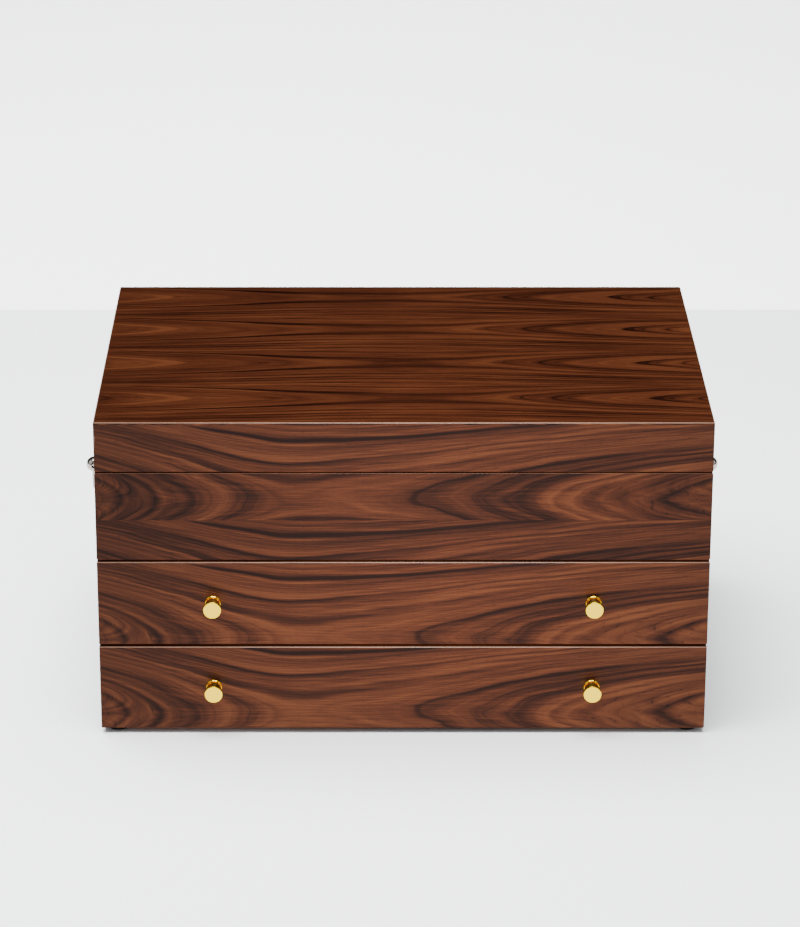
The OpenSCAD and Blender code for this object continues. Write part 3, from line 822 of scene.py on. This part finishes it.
def sew(mesh, threads, blocks, inset, face):
    """Presses a seam into the upper (face 1) or lower (face -1) side of each block, inset from its
    rim, and lays stitches along it in the mesh of threads."""
    for low, high in blocks:
        middle_z = (low.z + high.z) / 2
        for vert in mesh.verts:
            x, y, z = vert.co
            if (z - middle_z) * face < 0 or not (low.x <= x <= high.x and low.y <= y <= high.y):
                continue
            rim = min(x - low.x, high.x - x, y - low.y, high.y - y)
            vert.co.z -= face * SEAM_DEPTH * math.exp(-(((rim - inset) / SEAM_HALF) ** 2) * 2)
    surface = BVHTree.FromBMesh(mesh)
    for low, high in blocks:
        corners = [
            Vector((low.x + inset, low.y + inset, 0)),
            Vector((high.x - inset, low.y + inset, 0)),
            Vector((high.x - inset, high.y - inset, 0)),
            Vector((low.x + inset, high.y - inset, 0)),
        ]
        for begin, finish in zip(corners, corners[1:] + corners[:1]):
            run = (finish - begin).length
            count = int(run / STITCH_PITCH)
            along = (finish - begin).normalized()
            for i in range(count):
                centre = begin + along * (run * (i + 0.5) / count)
                ends = []
                for end in (-0.5, 0.5):
                    above = centre + along * (STITCH * end)
                    above.z = (high.z if face > 0 else low.z) + face * 5 * MM
                    hit = surface.ray_cast(above, Vector((0, 0, -face)))[0]
                    ends.append(hit + Vector((0, 0, face * 0.08 * MM)))
                stitch(threads, *ends, THREAD_RADIUS)


def thin_axis(low, high):
    """The axis, X or Y, that an upright board is thin along."""
    return 0 if high.x - low.x < high.y - low.y else 1


def cells(pad, dividers):
    """The parts of a floor pad that the dividers leave between them."""
    low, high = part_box(pad)
    cuts = {0: [], 1: []}
    for name in dividers:
        for start, end in solids(name):
            axis = thin_axis(start, end)
            cuts[axis].append((round(start[axis], 5), round(end[axis], 5)))
    spans = {}
    for axis in (0, 1):
        edges = sorted(set(cuts[axis]))
        starts = [low[axis]] + [end for _, end in edges]
        ends = [start for start, _ in edges] + [high[axis]]
        spans[axis] = list(zip(starts, ends))
    return [
        (Vector((x0, y0, low.z)), Vector((x1, y1, high.z)))
        for x0, x1 in spans[0]
        for y0, y1 in spans[1]
    ]


def floor_pads(name, dividers, body):
    """Suede-covered pads, one in each compartment, that swell a little inside their sewn rims."""
    blocks = cells(name, dividers)
    low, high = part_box(name)
    mesh = bmesh.new()
    inset = 5 * MM
    shape = {"edge": 0.8 * MM, "step": 7 * MM, "crown": (FLAT, (0, 0, 0.7 * MM)), "pull": 0.25 * MM}
    for start, end in blocks:
        padded_block(mesh, start, end, seam=inset, **shape)
    puff(mesh, lambda co: co.z < (low.z + high.z) / 2, 0.6 * MM, low, high)
    threads = bmesh.new()
    sew(mesh, threads, blocks, inset, 1)
    finish_piece(name + "_suede", mesh, suede, body, name)
    finish_piece(name + "_stitches", threads, thread, body, None, smooth_levels=0)


def boards(name, body):
    """Suede-covered boards that line the walls: padded on the side that faces into the box."""
    low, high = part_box(name)
    middle = (low + high) / 2
    mesh = bmesh.new()
    for start, end in solids(name):
        axis = thin_axis(start, end)
        crown = [[0.0, 0.0, 0.0], [0.0, 0.0, 0.4 * MM]]
        crown[1 if (start + end)[axis] / 2 < middle[axis] else 0][axis] = 0.7 * MM
        padded_block(mesh, start, end, edge=0.9 * MM, step=7 * MM, crown=crown)
    finish_piece(name + "_suede", mesh, suede, body, name)


def partitions(name, pad, body):
    """Dividers wrapped in suede: padded on both sides, round on top, and let in between the pads."""
    mesh = bmesh.new()
    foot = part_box(pad)[0].z + 0.1 * MM
    for start, end in solids(name):
        start.z = foot
        axis = thin_axis(start, end)
        crown = [[0.0, 0.0, 0.0], [0.0, 0.0, 0.4 * MM]]
        crown[0][axis] = crown[1][axis] = 0.35 * MM
        padded_block(mesh, start, end, edge=1.3 * MM, step=7 * MM, crown=crown)
    finish_piece(name + "_suede", mesh, suede, body, name)


floor_pads("well_floor_pad", ["well_cross_dividers", "well_long_dividers"], "case")
boards("well_wall_liners", "case")
partitions("well_cross_dividers", "well_floor_pad", "case")
partitions("well_long_dividers", "well_floor_pad", "case")
boards("lid_wall_liners", "lid")
for drawer in ("upper_drawer", "lower_drawer"):
    floor_pads(drawer + "_floor_pad", [drawer + "_dividers"], drawer)
    boards(drawer + "_wall_liners", drawer)
    partitions(drawer + "_dividers", drawer + "_floor_pad", drawer)

# the lid's board: the mirror's frame is set on it, so that only its border shows
board_low, board_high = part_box("lid_lining_board")
board_inset = 6 * MM
shape = {"edge": 0.9 * MM, "step": 8 * MM, "crown": ((0, 0, 0.8 * MM), FLAT)}
board = bmesh.new()
padded_block(board, board_low, board_high, seam=board_inset, **shape)
board_threads = bmesh.new()
sew(board, board_threads, [(board_low, board_high)], board_inset, -1)
finish_piece("lid_board_suede", board, suede, "lid", "lid_lining_board")
finish_piece("lid_board_stitches", board_threads, thread, "lid", None, smooth_levels=0)

# the ring cushion and its rolls
bed_low, bed_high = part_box("ring_bed")
shape = {"edge": 2.5 * MM, "step": 5 * MM, "crown": (FLAT, (0, 0, 0.6 * MM)), "pull": 0.8 * MM}
bed = bmesh.new()
padded_block(bed, bed_low, bed_high, **shape)
puff(bed, lambda co: co.z < bed_low.z + 4 * MM, 0.8 * MM, bed_low, bed_high)
finish_piece("ring_cushion", bed, suede, "case", "ring_bed")

rolls = bmesh.new()
for start, end in solids("ring_rolls"):
    padded_roll(rolls, start, end)
rolls_low, rolls_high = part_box("ring_rolls")
puff(rolls, lambda co: co.z < rolls_low.z + MM, 0.35 * MM, rolls_low, rolls_high, pressure=400.0)
finish_piece("ring_roll_cushions", rolls, velvet, "case", "ring_rolls")

# felt strips and dots
shape = {"edge": 0.25 * MM, "step": 8 * MM, "crown": (FLAT, (0, 0, 0.08 * MM))}
glides = bmesh.new()
for start, end in solids("drawer_glides"):
    padded_block(glides, start, end, **shape)
finish_piece("felt_glides", glides, felt, "case", "drawer_glides")
for name, axis in (("drawer_bumpers", 1), ("lid_bumpers", 2)):
    dots = bmesh.new()
    for start, end in solids(name):
        felt_dot(dots, start, end, axis)
    finish_piece("felt_" + name, dots, felt, "case", name)

# ---------------------------------------------------------------- stage, light and camera


# the far floor is painted a little darker and is lit by a lamp of its own, so that it reads as a wall
STAGE_REACH = 6
FLOOR_EDGE = 0.70
FAR_EDGE = 8


def stage_plane(name, near_y, far_y, material):
    """A level plane on the ground, from near_y to far_y. It has to be lit very brightly to look pale,
    so its light is kept off the chest, and the cards below stand in for it there."""
    corners = [
        (-STAGE_REACH, near_y, 0),
        (STAGE_REACH, near_y, 0),
        (STAGE_REACH, far_y, 0),
        (-STAGE_REACH, far_y, 0),
    ]
    mesh = bpy.data.meshes.new(name)
    mesh.from_pydata(corners, [], [(0, 1, 2, 3)])
    plane = bpy.data.objects.new(name, mesh)
    bpy.context.scene.collection.objects.link(plane)
    mesh.materials.append(material)
    plane.visible_diffuse = False
    plane.visible_glossy = False
    return plane


floor_paint = matt_paint("floor_paint", (0.79, 0.80, 0.80, 1), (0.81, 0.82, 0.82, 1), 0.5)
far_floor_paint = matt_paint("far_floor_paint", (0.72, 0.72, 0.745, 1), (0.74, 0.74, 0.765, 1), 0.8)
floor = stage_plane("floor", -STAGE_REACH, FLOOR_EDGE, floor_paint)
far_floor = stage_plane("far_floor", FLOOR_EDGE, FAR_EDGE, far_floor_paint)

world = bpy.data.worlds.new("studio")
world.use_nodes = True
world.node_tree.nodes["Background"].inputs["Color"].default_value = (0.9, 0.95, 1.0, 1)
world.node_tree.nodes["Background"].inputs["Strength"].default_value = 0.7
bpy.context.scene.world = world
world.cycles_visibility.glossy = False


def place_light(data, power, place, aim, only=None):
    """Adds a light at place that shines towards aim, on every object or on only some."""
    data.energy = power
    light = bpy.data.objects.new(data.name, data)
    bpy.context.scene.collection.objects.link(light)
    light.location = place
    light.rotation_mode = "QUATERNION"
    light.rotation_quaternion = (Vector(aim) - Vector(place)).to_track_quat("-Z", "Y")
    if only:
        receivers = bpy.data.collections.new(data.name + "_receivers")
        for item in only:
            receivers.objects.link(item)
        light.light_linking.receiver_collection = receivers
    return light


def softbox(name, power, place, aim, size, only=None):
    data = bpy.data.lights.new(name, "AREA")
    data.shape = "RECTANGLE"
    data.size, data.size_y = size
    return place_light(data, power, place, aim, only)


def ground_card(name, power, y, only):
    """A large card flat on the ground, unseen by the camera, that some pieces see in place of the floor."""
    place = Vector((0, y, 0.1 * MM))
    card = softbox(name, power, place, (0, y, 1), (6, 6), only)
    card.visible_camera = False


front_wood = [nodes[name] for name in FRONT_WOOD]
shiny = [nodes[name] for name in BRASS_NODES + NICKEL_NODES] + [nodes["mirror_glass"]]

# the overhead boxes light the floor alone, as ceiling lights would that the chest is flagged from
softbox("overhead", 275, (-0.45, 0.0, 2.2), (0, 0, 0), (2.4, 2.0), (floor, far_floor))
softbox("front", 1.2, (-0.05, -1.3, 1.0), (0, 0, 0.1), (0.7, 0.5))
softbox("high_front", 17.5, (0.0, -0.35, 1.7), (0, 0, 0.1), (1.4, 0.5))
softbox("far_overhead", 170, (0.0, 1.9, 2.2), (0, 1.9, 0), (2.4, 2.0), (far_floor,))

# a soft spot makes the middle of the front a little brighter than its ends
spot = bpy.data.lights.new("spot", "SPOT")
spot.spot_size = math.radians(12.5)
spot.spot_blend = 1.0
spot.shadow_soft_size = 0.12
place_light(spot, 150, (0.05, -1.7, 0.75), (0.02, front_y, 0.11), front_wood)

# large pale cards: the front's is dimmer, and the others shine on the metal and the mirror alone
ground_card("front_card", 72, front_y - 3, front_wood)
ground_card("floor_card", 330, 0, shiny)
for name, place in (
    ("card_left", (-1.2, -0.5, 0.9)),
    ("card_right", (1.2, -0.5, 0.9)),
    ("card_top", (0.0, 0.1, 1.5)),
):
    softbox(name, 5, place, (0, 0, 0.1), (1.3, 1.1), shiny)

camera_data = bpy.data.cameras.new("camera")
camera_data.sensor_width = 36.0
camera_data.lens = 138.56
camera_data.shift_x = 0.0345
camera = bpy.data.objects.new("camera", camera_data)
bpy.context.scene.collection.objects.link(camera)
# a long lens, level from side to side and pitched down at the chest
camera_pitch = 21.28
camera.location = (-21.9 * MM, front_y - 2.037, top_z + 0.7666)
camera.rotation_euler = (math.radians(90 - camera_pitch), 0, 0)
bpy.context.scene.camera = camera
